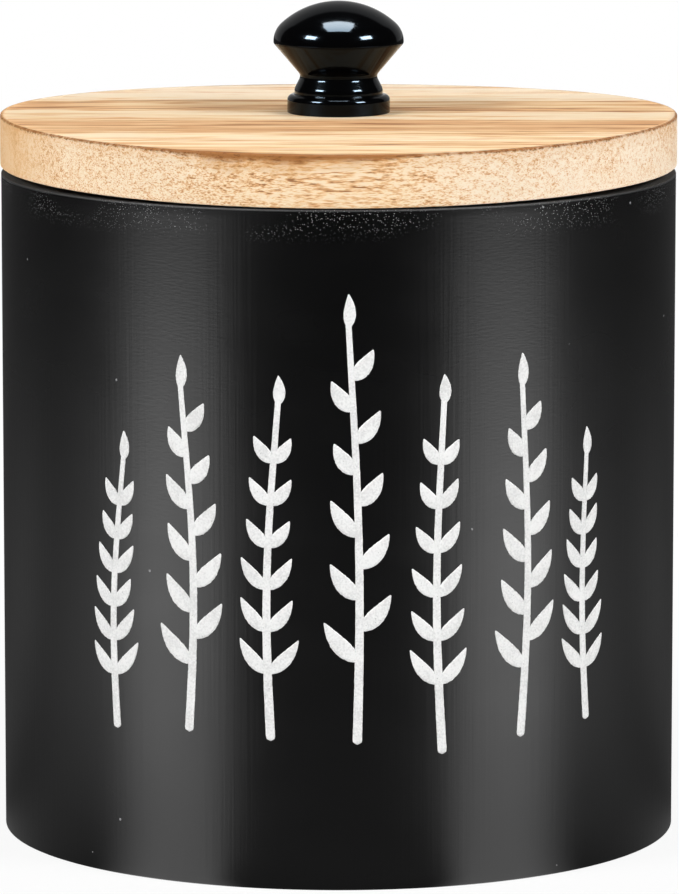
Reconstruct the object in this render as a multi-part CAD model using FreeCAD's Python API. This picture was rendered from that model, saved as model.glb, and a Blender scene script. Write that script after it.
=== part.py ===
"""Round wooden kitchen canister with a lift-off lid and a turned knob.

The canister is a turned wooden wall with a round bottom panel let into a
rebate at its foot. The lid is one flat-sawn board, turned to the outside of
the wall, with a step under it, the plug, that drops into the mouth. The grain
of the board runs along X and the board has cupped across it, so its front
and back edges hang below its middle and touch the rim, and its sides stand
off it. A turned knob is held from below by one screw and a washer, sunk in a
counterbore in the plug.

Millimetres. The origin is the middle of the foot, +Z is up, the front faces -Y.
"""
import FreeCAD, Part
import math
import os

# Canister wall
BODY_RADIUS = 74.9
BODY_HEIGHT = 147.0
WALL_THICKNESS = 8.0
RIM_CHAMFER = 0.6        # outer edge of the rim
MOUTH_CHAMFER = 0.8      # inner edge of the rim
FOOT_CHAMFER = 0.3       # outer edge that the canister stands on

# Bottom panel and the rebate that takes it
BASE_THICKNESS = 7.0
BASE_RECESS = 1.0        # how far the panel is held off the table
REBATE_WIDTH = 4.0       # step that the panel is pushed up against
GLUE_CLEARANCE = 0.1     # all round the panel's edge
BASE_CHAMFER = 0.5

# Lid board
LID_OVERHANG = 0.2       # lid beyond the wall, all round
LID_THICKNESS = 11.4
LID_CUP = 1.28           # drop of the front and back edges below the middle
LID_CHAMFER = 0.6        # upper and lower edges of the board
SEAT_GAP = 0.3           # air between the lid's lowest edge and the rim
PLUG_DEPTH = 5.0
PLUG_CLEARANCE = 1.0     # between the plug and the mouth, all round
PLUG_CHAMFER = 0.8

# Knob, from its foot up
KNOB_FOOT_RADIUS = 11.4
KNOB_FOOT_HEIGHT = 4.05
KNOB_FOOT_ROUND = 1.3        # upper edge of the foot
KNOB_LEDGE = 1.6             # from the foot in to the collar
KNOB_COLLAR_HEIGHT = 1.28
KNOB_COLLAR_ROUND = 2.4
KNOB_NECK_DEPTH = 1.47       # from the collar in to the waist
KNOB_SHOULDER_HEIGHT = 2.88  # slope between the collar and the waist
KNOB_WAIST_ROUND = 1.3
KNOB_CROWN_RADIUS = 14.45
KNOB_CONE_HEIGHT = 7.54      # from the waist up to the widest line of the crown
KNOB_EDGE_ROUND = 0.85       # under the widest line
KNOB_CROWN_HEIGHT = 9.0      # from the widest line to the top
KNOB_CROWN_SIDE_ROUND = 5.6  # the smaller arc of the oval crown
KNOB_FACET_ERROR = 0.055     # the knob's curves are cones that stay this close to them

# Screw and washer
SCREW_RADIUS = 2.0
SCREW_TIP_CHAMFER = 0.5
THREAD_ENGAGEMENT = 9.0      # length of the screw inside the knob
THREAD_CLEARANCE = 0.05
HOLE_END_CLEARANCE = 2.0     # empty length of the knob's hole past the screw
DRILL_POINT_ANGLE = 118.0    # degrees, end of the knob's blind hole
HEAD_RADIUS = 4.0
HEAD_HEIGHT = 2.6
HEAD_BEVEL = 1.0             # round the edge of the head's face
CROSS_DEPTH = 1.7            # cross recess for the screwdriver
CROSS_RADIUS = 2.3
CROSS_SLOT = 0.9
CROSS_TAPER_ANGLE = 26.0     # degrees, slope of the wings' outer ends
WASHER_RADIUS = 4.5
WASHER_THICKNESS = 0.8
WASHER_HOLE_CLEARANCE = 0.15
BOARD_HOLE_CLEARANCE = 0.4   # around the screw in the lid
COUNTERBORE_CLEARANCE = 0.6  # around the washer
HEAD_SINK = 0.5              # how far the head lies above the plug's face

# Sizes that follow from the ones above
BORE_RADIUS = BODY_RADIUS - WALL_THICKNESS
REBATE_RADIUS = BORE_RADIUS + REBATE_WIDTH
REBATE_HEIGHT = BASE_RECESS + BASE_THICKNESS
LID_RADIUS = BODY_RADIUS + LID_OVERHANG
PLUG_RADIUS = BORE_RADIUS - PLUG_CLEARANCE
CUP_RADIUS = (LID_RADIUS ** 2 + LID_CUP ** 2) / (2.0 * LID_CUP)
LID_UNDER_Z = BODY_HEIGHT + SEAT_GAP + LID_CUP      # underside at the middle
LID_TOP_Z = LID_UNDER_Z + LID_THICKNESS
PLUG_FACE_Z = LID_UNDER_Z - PLUG_DEPTH
COUNTERBORE_TOP_Z = PLUG_FACE_Z + HEAD_SINK + HEAD_HEIGHT + WASHER_THICKNESS
HEAD_SEAT_Z = COUNTERBORE_TOP_Z - WASHER_THICKNESS
SCREW_TIP_Z = LID_TOP_Z + THREAD_ENGAGEMENT

UP = FreeCAD.Vector(0, 0, 1)
CUT_MARGIN = 1.0         # cutting tools run this far past the faces they open


def point(radius, height):
    """A point of a turned profile, in the XZ plane."""
    return FreeCAD.Vector(radius, 0, height)


def turned_polygon(points):
    """A full turn about Z of a polygon given by its corners, in the XZ plane."""
    outline = Part.Face(Part.makePolygon(points + points[:1]))
    return outline.revolve(FreeCAD.Vector(0, 0, 0), UP, 360)


def rod(radius, bottom, top):
    """A solid cylinder about Z between two heights."""
    return Part.makeCylinder(radius, top - bottom, FreeCAD.Vector(0, 0, bottom))


def canister_wall():
    """Turned tube with a chamfered rim and mouth and a rebated foot."""
    return turned_polygon([
        point(REBATE_RADIUS, 0),
        point(BODY_RADIUS - FOOT_CHAMFER, 0),
        point(BODY_RADIUS, FOOT_CHAMFER),
        point(BODY_RADIUS, BODY_HEIGHT - RIM_CHAMFER),
        point(BODY_RADIUS - RIM_CHAMFER, BODY_HEIGHT),
        point(BORE_RADIUS + MOUTH_CHAMFER, BODY_HEIGHT),
        point(BORE_RADIUS, BODY_HEIGHT - MOUTH_CHAMFER),
        point(BORE_RADIUS, REBATE_HEIGHT),
        point(REBATE_RADIUS, REBATE_HEIGHT),
    ])


def base_panel():
    """Round panel glued into the rebate, its inside face level with the step."""
    radius = REBATE_RADIUS - GLUE_CLEARANCE
    return turned_polygon([
        point(0, BASE_RECESS),
        point(radius - BASE_CHAMFER, BASE_RECESS),
        point(radius, BASE_RECESS + BASE_CHAMFER),
        point(radius, REBATE_HEIGHT),
        point(0, REBATE_HEIGHT),
    ])


def cup_point(half_width, crown_z, arc_radius):
    """The point of a cupped section's arc at this distance from its middle."""
    drop = arc_radius - math.sqrt(arc_radius ** 2 - half_width ** 2)
    return FreeCAD.Vector(0, half_width, crown_z - drop)


def cupped_disc(radius, top_z, thickness):
    """A disc with both faces bent about one line that lies under it along X.

    Each face is an arc in section across the grain, and the two arcs have
    the same centre, so the board keeps its thickness.
    """
    half = radius + CUT_MARGIN
    bottom_z = top_z - thickness
    top = [cup_point(y, top_z, CUP_RADIUS) for y in (-half, 0, half)]
    bottom = [cup_point(y, bottom_z, CUP_RADIUS - thickness) for y in (half, 0, -half)]
    outline = Part.Wire([
        Part.Arc(*top).toShape(),
        Part.makeLine(top[-1], bottom[0]),
        Part.Arc(*bottom).toShape(),
        Part.makeLine(bottom[-1], top[0]),
    ])
    plank = Part.Face(outline).extrude(FreeCAD.Vector(2.0 * half, 0, 0))
    plank.translate(FreeCAD.Vector(-half, 0, 0))
    lowest = bottom[0].z - CUT_MARGIN
    return plank.common(rod(radius, lowest, top_z + CUT_MARGIN))


def rim_edges(shape, radius, lowest, highest):
    """The edges of a cupped disc's rim that lie between two heights."""
    found = []
    for edge in shape.Edges:
        box = edge.BoundBox
        around = box.XLength > radius and box.YLength > radius
        at_radius = abs(math.hypot(*edge.Vertexes[0].Point[:2]) - radius) < 1e-3
        if around and at_radius and lowest < box.ZMin and box.ZMax < highest:
            found.append(edge)
    return found


def lid_board():
    """The cupped board, with its plug, screw hole and counterbore."""
    board = cupped_disc(LID_RADIUS, LID_TOP_Z, LID_THICKNESS)
    middle_z = LID_UNDER_Z + LID_THICKNESS / 2.0
    board = board.makeChamfer(LID_CHAMFER, rim_edges(board, LID_RADIUS, 0, LID_TOP_Z + CUT_MARGIN))
    plug = cupped_disc(PLUG_RADIUS, middle_z, PLUG_DEPTH + LID_THICKNESS / 2.0)
    plug = plug.makeChamfer(PLUG_CHAMFER, rim_edges(plug, PLUG_RADIUS, 0, LID_UNDER_Z))
    below = PLUG_FACE_Z - CUT_MARGIN
    screw_hole = rod(SCREW_RADIUS + BOARD_HOLE_CLEARANCE, below, LID_TOP_Z + CUT_MARGIN)
    counterbore = rod(WASHER_RADIUS + COUNTERBORE_CLEARANCE, below, COUNTERBORE_TOP_Z)
    return board.fuse(plug).removeSplitter().cut(screw_hole).cut(counterbore)


def arc_points(centre, radius, first, last):
    """Points along an arc from its first angle to its last, both included.

    A chord that turns by t strays from its arc by radius * (1 - cos(t / 2)),
    which gives the fewest even steps that keep to the facet error.
    """
    widest = 2.0 * math.acos(1.0 - KNOB_FACET_ERROR / radius)
    count = math.ceil(abs(last - first) / widest)
    angles = [first + (last - first) * step / count for step in range(count + 1)]
    return [centre + point(radius * math.cos(angle), radius * math.sin(angle)) for angle in angles]


def corner_points(before, corner, after, rounding):
    """The corner itself, or the arc of this radius that touches both its sides.

    The arc touches at rounding / tan(half the corner's angle) along each side,
    and its centre lies on their bisector.
    """
    if rounding == 0:
        return [corner]
    back = (before - corner).normalize()
    ahead = (after - corner).normalize()
    half_angle = back.getAngle(ahead) / 2.0
    reach = rounding / math.tan(half_angle)
    centre = corner + (back + ahead).normalize() * (rounding / math.sin(half_angle))
    start = corner + back * reach - centre
    end = corner + ahead * reach - centre
    turn = math.atan2(start.x * end.z - start.z * end.x, start.dot(end))
    first = math.atan2(start.z, start.x)
    return arc_points(centre, rounding, first, first + turn)


def cone_corner(waist_radius, waist_z, crown_z):
    """Height at which the cone would meet the upright line of the crown's edge.

    The edge's round has to end at the crown's widest line, so it starts from
    a corner that lies one tangent length lower. The slope of the cone and
    that length depend on each other, and a few rounds settle them.
    """
    corner_z = crown_z
    for _ in range(20):
        lean = math.atan2(KNOB_CROWN_RADIUS - waist_radius, corner_z - waist_z)
        corner_z = crown_z - KNOB_EDGE_ROUND * math.tan(lean / 2.0)
    return corner_z


def crown_points(crown_z):
    """Half an oval from the crown's widest line to its top: two tangent arcs."""
    side_centre = KNOB_CROWN_RADIUS - KNOB_CROWN_SIDE_ROUND
    top_round = side_centre ** 2 + KNOB_CROWN_HEIGHT ** 2 - KNOB_CROWN_SIDE_ROUND ** 2
    top_round /= 2.0 * (KNOB_CROWN_HEIGHT - KNOB_CROWN_SIDE_ROUND)
    top_centre = crown_z + KNOB_CROWN_HEIGHT - top_round
    meet_angle = math.atan2(crown_z - top_centre, side_centre)
    side = arc_points(point(side_centre, crown_z), KNOB_CROWN_SIDE_ROUND, 0.0, meet_angle)
    top = arc_points(point(0, top_centre), top_round, meet_angle, math.pi / 2.0)
    return side + top[1:-1] + [point(0, crown_z + KNOB_CROWN_HEIGHT)]


def knob():
    """Mushroom knob: foot, collar, waist, cone and oval crown."""
    collar_radius = KNOB_FOOT_RADIUS - KNOB_LEDGE
    waist_radius = collar_radius - KNOB_NECK_DEPTH
    collar_z = LID_TOP_Z + KNOB_FOOT_HEIGHT
    shoulder_z = collar_z + KNOB_COLLAR_HEIGHT
    waist_z = shoulder_z + KNOB_SHOULDER_HEIGHT
    crown_z = waist_z + KNOB_CONE_HEIGHT
    edge_z = cone_corner(waist_radius, waist_z, crown_z)
    corners = [
        (point(KNOB_FOOT_RADIUS, LID_TOP_Z), 0),
        (point(KNOB_FOOT_RADIUS, collar_z), KNOB_FOOT_ROUND),
        (point(collar_radius, collar_z), 0),
        (point(collar_radius, shoulder_z), KNOB_COLLAR_ROUND),
        (point(waist_radius, waist_z), KNOB_WAIST_ROUND),
        (point(KNOB_CROWN_RADIUS, edge_z), KNOB_EDGE_ROUND),
        (point(KNOB_CROWN_RADIUS, crown_z + KNOB_CROWN_HEIGHT), 0),
    ]
    profile = [point(0, LID_TOP_Z), corners[0][0]]
    for (before, _), (corner, rounding), (after, _) in zip(corners, corners[1:], corners[2:]):
        profile += corner_points(before, corner, after, rounding)
    return turned_polygon(profile + crown_points(crown_z)[1:]).cut(knob_hole())


def knob_hole():
    """Blind tapped hole with the cone that the drill leaves at its end."""
    radius = SCREW_RADIUS + THREAD_CLEARANCE
    end_z = SCREW_TIP_Z + HOLE_END_CLEARANCE
    cone_height = radius / math.tan(math.radians(DRILL_POINT_ANGLE / 2.0))
    return turned_polygon([
        point(0, LID_TOP_Z - CUT_MARGIN),
        point(radius, LID_TOP_Z - CUT_MARGIN),
        point(radius, end_z),
        point(0, end_z + cone_height),
    ])


def cross_recess(face_z):
    """Four tapering wings, cut up into the head from its face."""
    slots = None
    for length_x, length_y in ((2.0 * CROSS_RADIUS, CROSS_SLOT), (CROSS_SLOT, 2.0 * CROSS_RADIUS)):
        corner = FreeCAD.Vector(-length_x / 2.0, -length_y / 2.0, face_z - CUT_MARGIN)
        slot = Part.makeBox(length_x, length_y, CROSS_DEPTH + CUT_MARGIN, corner)
        slots = slots.fuse(slot) if slots else slot
    end_radius = CROSS_RADIUS - CROSS_DEPTH * math.tan(math.radians(CROSS_TAPER_ANGLE))
    taper = turned_polygon([
        point(0, face_z - CUT_MARGIN),
        point(CROSS_RADIUS, face_z - CUT_MARGIN),
        point(CROSS_RADIUS, face_z),
        point(end_radius, face_z + CROSS_DEPTH),
        point(0, face_z + CROSS_DEPTH),
    ])
    return slots.common(taper)


def knob_screw():
    """Pan head screw with its head down and its shank up through the lid."""
    face_z = HEAD_SEAT_Z - HEAD_HEIGHT
    screw = turned_polygon([
        point(0, face_z),
        point(HEAD_RADIUS - HEAD_BEVEL, face_z),
        point(HEAD_RADIUS, face_z + HEAD_BEVEL),
        point(HEAD_RADIUS, HEAD_SEAT_Z),
        point(SCREW_RADIUS, HEAD_SEAT_Z),
        point(SCREW_RADIUS, SCREW_TIP_Z - SCREW_TIP_CHAMFER),
        point(SCREW_RADIUS - SCREW_TIP_CHAMFER, SCREW_TIP_Z),
        point(0, SCREW_TIP_Z),
    ])
    return screw.cut(cross_recess(face_z))


def screw_washer():
    """Flat washer between the screw's head and the counterbore."""
    hole_radius = SCREW_RADIUS + WASHER_HOLE_CLEARANCE
    disc = rod(WASHER_RADIUS, HEAD_SEAT_Z, COUNTERBORE_TOP_Z)
    return disc.cut(rod(hole_radius, HEAD_SEAT_Z - CUT_MARGIN, COUNTERBORE_TOP_Z + CUT_MARGIN))


PIECES = {
    "canister_wall": canister_wall,
    "base_panel": base_panel,
    "lid_board": lid_board,
    "knob": knob,
    "knob_screw": knob_screw,
    "screw_washer": screw_washer,
}


def main():
    """Build each piece and write it to its own file."""
    os.makedirs("parts", exist_ok=True)
    for node, make in PIECES.items():
        shape = make()
        shape.exportStep("parts/" + node + ".step")
        print(node, len(shape.Solids), "solid,", round(shape.Volume), "mm3, valid", shape.isValid())


main()
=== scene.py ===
"""Black wooden kitchen canister with a toasted wooden lid and a gloss knob.

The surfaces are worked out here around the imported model: the turned wall and
its bottom panel, the cupped lid board, the turned knob and the white sprigs
painted round the front. The screw and its washer keep the model's shape.
Lengths are in metres. The origin is the middle of the foot, +Z is up and the
front faces -Y.
"""
import math

import bmesh
import bpy
import numpy as np
from bpy.props import FloatProperty, FloatVectorProperty, IntProperty, PointerProperty
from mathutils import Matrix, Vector


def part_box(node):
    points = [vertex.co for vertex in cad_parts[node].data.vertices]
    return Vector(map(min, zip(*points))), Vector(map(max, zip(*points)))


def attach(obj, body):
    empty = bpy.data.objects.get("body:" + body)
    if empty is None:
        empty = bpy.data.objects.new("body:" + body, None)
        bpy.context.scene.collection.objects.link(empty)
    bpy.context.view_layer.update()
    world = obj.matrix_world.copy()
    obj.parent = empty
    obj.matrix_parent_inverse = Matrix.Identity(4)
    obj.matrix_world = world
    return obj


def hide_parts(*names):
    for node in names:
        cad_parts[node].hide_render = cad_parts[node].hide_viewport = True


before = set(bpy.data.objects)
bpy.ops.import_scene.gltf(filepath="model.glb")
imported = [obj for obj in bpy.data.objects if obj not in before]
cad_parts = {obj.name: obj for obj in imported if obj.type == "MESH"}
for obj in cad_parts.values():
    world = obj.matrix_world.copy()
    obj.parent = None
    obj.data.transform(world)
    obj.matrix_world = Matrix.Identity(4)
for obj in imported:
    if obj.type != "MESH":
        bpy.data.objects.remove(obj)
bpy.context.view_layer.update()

bl_info = {
    "name": "Kitchen Canister",
    "version": (1, 0, 0),
    "blender": (4, 5, 0),
    "location": "3D View > Sidebar > Canister",
    "description": "Builds a painted wooden canister with a lift-off lid",
    "category": "Object",
}

MM = 0.001
WALL_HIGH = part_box("canister_wall")[1]
BASE_LOW, BASE_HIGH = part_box("base_panel")
LID_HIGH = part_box("lid_board")[1]
KNOB_LOW, KNOB_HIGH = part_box("knob")
SCREW_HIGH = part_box("knob_screw")[1]
WASHER_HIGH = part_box("screw_washer")[1]

EASED = 0.15 * MM              # round of an edge that is only broken
PANEL_EASED = 0.1 * MM         # the same on the bottom panel's upper edge
CREASE = 0.12 * MM             # round of the corners of the foot's rebate
LONGEST_STEP = 2.0 * MM        # between points of a turned outline
LONGEST_LID_STEP = 2.2 * MM
LONGEST_KNOB_STEP = 0.35 * MM
WALL_COLUMNS = 384             # faces round each turned piece
PANEL_COLUMNS = 256
LID_COLUMNS = 640
KNOB_COLUMNS = 256
STEM_POINTS = 140              # along a painted stem and a painted leaf
LEAF_POINTS = 26
STROKE_POINTS = 12             # round the section of a stroke
SCREW_ROOM = 2.0 * MM          # in the knob's hole above the screw
DRILL_TIP = 1.2 * MM           # cone at the end of that hole
CHIP_REACH = 0.7 * MM          # from the lid's edges, over which chips fade out
WAVER_RUN = 60 * MM            # after which a stroke's uneven edge repeats
WAVER_SHARE = 0.035            # how uneven it is, as a share of the width
PAINT_SINK = 0.05 * MM         # of the under side of a stroke into the wall
FINEST = 1e-7                  # half width of a stroke at its ends
FLOOR_RINGS = (0.0, 0.2, 0.5, 1.0, 2.0, 5.0, 9.0)
FLOOR_COLUMNS = 96
FLOOR_DROP = 0.02 * MM         # the floor lies this far under the foot
CLOTH_GAP = 4.0 * MM           # between a lamp and its cloth
WHITE = (1.0, 1.0, 1.0)
# the table's glow in gloss is painted light
BRIGHTEST = 11.0               # of the table in gloss, where 1 is white


# Settings ------------------------------------------------------------------

def length(name, description, default, low=0.0):
    """A length setting in metres."""
    return FloatProperty(
        name=name, description=description, default=default, min=low,
        unit="LENGTH", subtype="DISTANCE", precision=5)


def angle(name, description, degrees):
    """An angle setting, kept in radians."""
    return FloatProperty(
        name=name, description=description, default=math.radians(degrees),
        unit="ROTATION", subtype="ANGLE")


def colour(name, description, default):
    """A linear colour setting."""
    return FloatVectorProperty(
        name=name, description=description, default=default, size=3,
        min=0.0, max=1.0, subtype="COLOR")


def level(name, description, default):
    """A brightness setting, where 1 is white."""
    return FloatProperty(name=name, description=description, default=default, min=0.0)


class CanisterWallSizes(bpy.types.PropertyGroup):
    """Sizes of the turned wall and the panel in its foot."""
    radius: length("Radius", "Outside of the wall", WALL_HIGH.x)
    height: length("Height", "Foot to rim", WALL_HIGH.z)
    thickness: length("Thickness", "Outside to bore", 8.0 * MM)
    rim_round: length("Rim round", "Outer edge of the rim", 0.25 * MM)
    mouth_round: length("Mouth round", "Inner edge of the rim", 1.0 * MM)
    foot_round: length("Foot round", "Outer edge that it stands on", 0.4 * MM)
    panel_radius: length("Panel radius", "Bottom panel", BASE_HIGH.x)
    panel_clearance: length("Panel clearance", "Round the bottom panel", 0.1 * MM)
    panel_round: length("Panel round", "Lower edge of the panel", 0.5 * MM)


class LidSizes(bpy.types.PropertyGroup):
    """Sizes of the lid board and its plug."""
    radius: length("Radius", "Outside of the board", LID_HIGH.x)
    top: length("Top", "Height of the board's crown line", LID_HIGH.z)
    thickness: length("Thickness", "Thickness of the board", 11.4 * MM)
    cup: length("Cup", "Drop of the front and back edges", 1.28 * MM)
    edge_round: length("Edge round", "Upper edge of the rim", 0.45 * MM)
    lower_round: length("Lower round", "Lower edge of the rim", 0.4 * MM)
    wear: length("Edge wear", "Depth of the small chips along the edges", 0.16 * MM)
    plug_depth: length("Plug depth", "Step below the board", 5.0 * MM)
    plug_gap: length("Plug gap", "Between the plug and the mouth", 1.0 * MM)
    plug_round: length("Plug round", "Lower edge of the plug", 0.9 * MM)
    hole_radius: length("Hole radius", "Screw hole", 2.4 * MM)
    bore_gap: length("Counterbore gap", "Round the washer", 0.6 * MM)


class KnobSizes(bpy.types.PropertyGroup):
    """Sizes of the turned knob, from its foot up."""
    crown_radius: length("Crown radius", "Widest line", KNOB_HIGH.x)
    base_round: length("Base round", "Lower edge of the foot", 0.2 * MM)
    foot_radius: length("Foot radius", "Foot disc", 11.4 * MM)
    foot_height: length("Foot height", "Foot disc", 4.05 * MM)
    foot_round: length("Foot round", "Upper edge of the foot", 1.3 * MM)
    ledge: length("Ledge", "From the foot in to the collar", 1.6 * MM)
    ledge_round: length("Ledge round", "Where the collar meets the foot", 0.25 * MM)
    collar_height: length("Collar height", "Collar above the foot", 1.28 * MM)
    collar_round: length("Collar round", "Shoulder of the collar", 2.4 * MM)
    neck_depth: length("Neck depth", "From the collar in to the waist", 1.47 * MM)
    shoulder_height: length("Shoulder height", "From collar to waist", 2.88 * MM)
    waist_round: length("Waist round", "Hollow of the waist", 1.3 * MM)
    cone_height: length("Cone height", "From the waist to the widest line", 7.54 * MM)
    edge_round: length("Edge round", "Under the widest line", 0.85 * MM)
    side_round: length("Side round", "Smaller arc of the oval crown", 5.6 * MM)
    hole_radius: length("Hole radius", "Blind hole for the screw", 2.05 * MM)


class SprigSizes(bpy.types.PropertyGroup):
    """Sizes of the painted sprigs."""
    count: IntProperty(
        name="Sprigs", description="Sprigs round the front", default=7, min=1, max=12)
    spacing: length("Spacing", "Along the wall from stem to stem", 18.6 * MM)
    shift: length("Shift", "Middle of the row, round to the right", 4.0 * MM, low=-1.0)
    foot: length("Foot", "Height of the lowest stem end", 27.0 * MM)
    tall: length("Tall", "Height of the tallest tip", 123.0 * MM)
    stem_width: length("Stem width", "Brush width of a stem", 2.1 * MM)
    leaf_length: length("Leaf length", "Longest leaf", 13.0 * MM)
    leaf_width: length("Leaf width", "Widest leaf", 3.9 * MM)
    film: length("Paint film", "How far the paint stands off the wall", 0.13 * MM)


class FinishColours(bpy.types.PropertyGroup):
    """Colours of the finishes."""
    black_paint: colour("Black paint", "Satin paint of the wall", (0.0010, 0.0010, 0.0011))
    # pale flecks under the rim: wear in the paint, and painted glints where rough paint catches the
    # lamps
    wear_and_glint_paint: colour("Worn paint", "Pale flecks under the rim", (0.42, 0.42, 0.43))
    white_paint: colour("White paint", "Painted sprigs", (0.90, 0.90, 0.89))
    pinhole: colour("Pinholes", "Small holes in the white paint", (0.25, 0.25, 0.25))
    pale_wood: colour("Pale wood", "Early wood of the lid", (0.945, 0.705, 0.410))
    cream_wood: colour("Cream wood", "Palest wood", (0.985, 0.835, 0.670))
    tan_wood: colour("Tan wood", "Between pale and brown", (0.800, 0.460, 0.225))
    brown_wood: colour("Brown wood", "Late wood of the lid", (0.610, 0.300, 0.125))
    dark_wood: colour("Dark wood", "Darkest streaks of the lid", (0.300, 0.125, 0.050))
    honey_wood: colour("Honey wood", "Warm wood at the left of the rim", (0.80, 0.48, 0.22))
    toast_wood: colour("Toasted wood", "Round the burnt edge", (0.66, 0.34, 0.12))
    burnt_wood: colour("Burnt wood", "Torched edges", (0.340, 0.125, 0.026))
    bare_wood: colour("Bare wood", "Unpainted inside", (0.72, 0.50, 0.30))
    enamel: colour("Enamel", "Gloss black of the knob", (0.0012, 0.0012, 0.0014))
    zinc: colour("Zinc plate", "Screw and washer", (0.66, 0.66, 0.64))


class StageSettings(bpy.types.PropertyGroup):
    """Camera, lamps and floor."""
    camera_distance: length("Camera distance", "In front of the axis", 1.50505)
    camera_height: length("Camera height", "Above the floor", 0.31794)
    camera_side: length("Camera side", "To the right of the axis", 0.0002, low=-1.0)
    camera_tilt: angle("Camera tilt", "Below the horizon", 8.807)
    lens: FloatProperty(
        name="Lens", description="Focal length in mm", default=274.26, min=1.0, unit="CAMERA")
    side_azimuth: angle("Side lamps", "Either side of the front", 56.0)
    side_distance: length("Side distance", "Side lamps from the axis", 1.36)
    side_height: length("Side height", "Side lamps above the floor", 1.0)
    side_width: length("Side width", "Width of the side lamps", 0.54)
    side_tall: length("Side tall", "Height of the side lamps' faces", 0.34)
    side_level: level("Side level", "Brightness of the side lamps", 24.5)
    side_glare: level("Side glare", "Their brightness in gloss", 170.0)
    top_height: length("Top height", "Top lamp above the floor", 1.18)
    top_forward: length("Top forward", "Top lamp in front of the axis", 0.085)
    top_width: length("Top width", "Width of the top lamp", 0.52)
    top_depth: length("Top depth", "Front to back of the top lamp", 0.6)
    top_level: level("Top level", "Brightness of the top lamp", 2.2)
    top_glare: level("Top glare", "Its brightness in gloss", 46.0)
    room_level: level("Room level", "Light from all round", 0.2)
    floor_colour: colour("Floor", "Pale floor", (0.90, 0.90, 0.90))


class CanisterSettings(bpy.types.PropertyGroup):
    """All settings of the canister."""
    wall: PointerProperty(type=CanisterWallSizes)
    lid: PointerProperty(type=LidSizes)
    knob: PointerProperty(type=KnobSizes)
    sprigs: PointerProperty(type=SprigSizes)
    colours: PointerProperty(type=FinishColours)
    stage: PointerProperty(type=StageSettings)


# Shapes --------------------------------------------------------------------

def rounded_outline(corners, closed, steps=8):
    """Points along corners given as (radius, height, round).

    A corner with a round becomes an arc that touches both sides. With b and a
    the unit vectors back and ahead and h half the angle between them, the arc
    touches at round / tan(h) along each, its centre lies on their bisector at
    round / sin(h), and its points turn evenly from one end to the other.
    """
    places = np.array([corner[:2] for corner in corners], float)
    rounds = [corner[2] for corner in corners]
    parts = []
    for index, rounding in enumerate(rounds):
        corner = places[index]
        end = not closed and index in (0, len(rounds) - 1)
        if rounding == 0 or end:
            parts.append(corner[None])
            continue
        back = places[index - 1] - corner
        ahead = places[(index + 1) % len(rounds)] - corner
        back /= np.linalg.norm(back)
        ahead /= np.linalg.norm(ahead)
        half = math.acos(back @ ahead) / 2
        bisector = (back + ahead) / np.linalg.norm(back + ahead)
        centre = corner + bisector * rounding / math.sin(half)
        start = corner + back * rounding / math.tan(half) - centre
        stop = corner + ahead * rounding / math.tan(half) - centre
        turn = math.pi - 2 * half
        t = np.linspace(0, turn, steps + 1)[:, None]
        parts.append(centre + (np.sin(turn - t) * start + np.sin(t) * stop) / math.sin(turn))
    return np.concatenate(parts)


def spaced(outline, longest, closed):
    """The outline with each run divided evenly into steps no longer than this."""
    ends = np.concatenate([outline, outline[:1]]) if closed else outline
    runs = np.diff(ends, axis=0)
    counts = np.maximum(1, np.ceil(np.linalg.norm(runs, axis=1) / longest)).astype(int)
    owner = np.repeat(np.arange(len(counts)), counts)
    first = np.repeat(np.cumsum(counts) - counts, counts)
    share = (np.arange(counts.sum()) - first) / counts[owner]
    points = ends[owner] + runs[owner] * share[:, None]
    return points if closed else np.concatenate([points, ends[-1:]])


def turned_grid(outline, columns):
    """The outline carried round Z: x = r sin(a), y = -r cos(a), z as it is."""
    around = np.linspace(0, 2 * math.pi, columns, endpoint=False)
    radius, height = outline[:, :1], outline[:, 1:]
    x = radius * np.sin(around)
    y = -radius * np.cos(around)
    return np.stack([x, y, np.broadcast_to(height, x.shape)], axis=2)


def grid_faces(index):
    """Quads between neighbouring rows and columns, and triangles at poles.

    A row whose numbers are all the same is a pole.
    """
    corners = np.stack([index[:-1, :-1], index[:-1, 1:], index[1:, 1:], index[1:, :-1]], axis=2)
    corners = corners.reshape(-1, 4)
    low_pole = corners[:, 0] == corners[:, 1]
    high_pole = corners[:, 2] == corners[:, 3]
    quads = corners[~low_pole & ~high_pole]
    caps = np.concatenate([corners[low_pole][:, 1:], corners[high_pole][:, :3]])
    return quads.tolist() + caps.tolist()


def grid_indices(rows, columns, poles, closed_rows, first=0):
    """Vertex numbers of a grid that closes round its columns."""
    index = first + np.arange(rows * columns).reshape(rows, columns)
    index[poles] = index[poles][:, :1]
    index = np.concatenate([index, index[:, :1]], axis=1)
    return np.concatenate([index, index[:1]]) if closed_rows else index


def add_object(name, data):
    """A new object in the scene, showing this mesh, lamp or camera."""
    made = bpy.data.objects.new(name, data)
    bpy.context.scene.collection.objects.link(made)
    return made


def add_mesh(name, points, faces, material):
    """A mesh object from points and faces."""
    mesh = bpy.data.meshes.new(name)
    mesh.from_pydata(points, [], faces)
    mesh.materials.append(material)
    return add_object(name, mesh)


def add_piece(name, points, faces, material):
    """A smooth mesh object from points and faces, facing outwards."""
    piece = add_mesh(name, points.reshape(-1, 3), faces, material)
    shape = bmesh.new()
    shape.from_mesh(piece.data)
    bmesh.ops.delete(shape, geom=[v for v in shape.verts if not v.link_faces], context="VERTS")
    bmesh.ops.recalc_face_normals(shape, faces=shape.faces)
    shape.to_mesh(piece.data)
    shape.free()
    piece.data.shade_smooth()
    return piece


def add_turned(name, outline, columns, closed, material, shaping=None):
    """A turned piece; shaping takes the grid of points and gives it back bent."""
    grid = turned_grid(outline, columns)
    if shaping:
        grid = shaping(grid)
    poles = np.flatnonzero(outline[:, 0] < 1e-9)
    index = grid_indices(len(outline), columns, poles, closed)
    return add_piece(name, grid, grid_faces(index), material)


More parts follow.
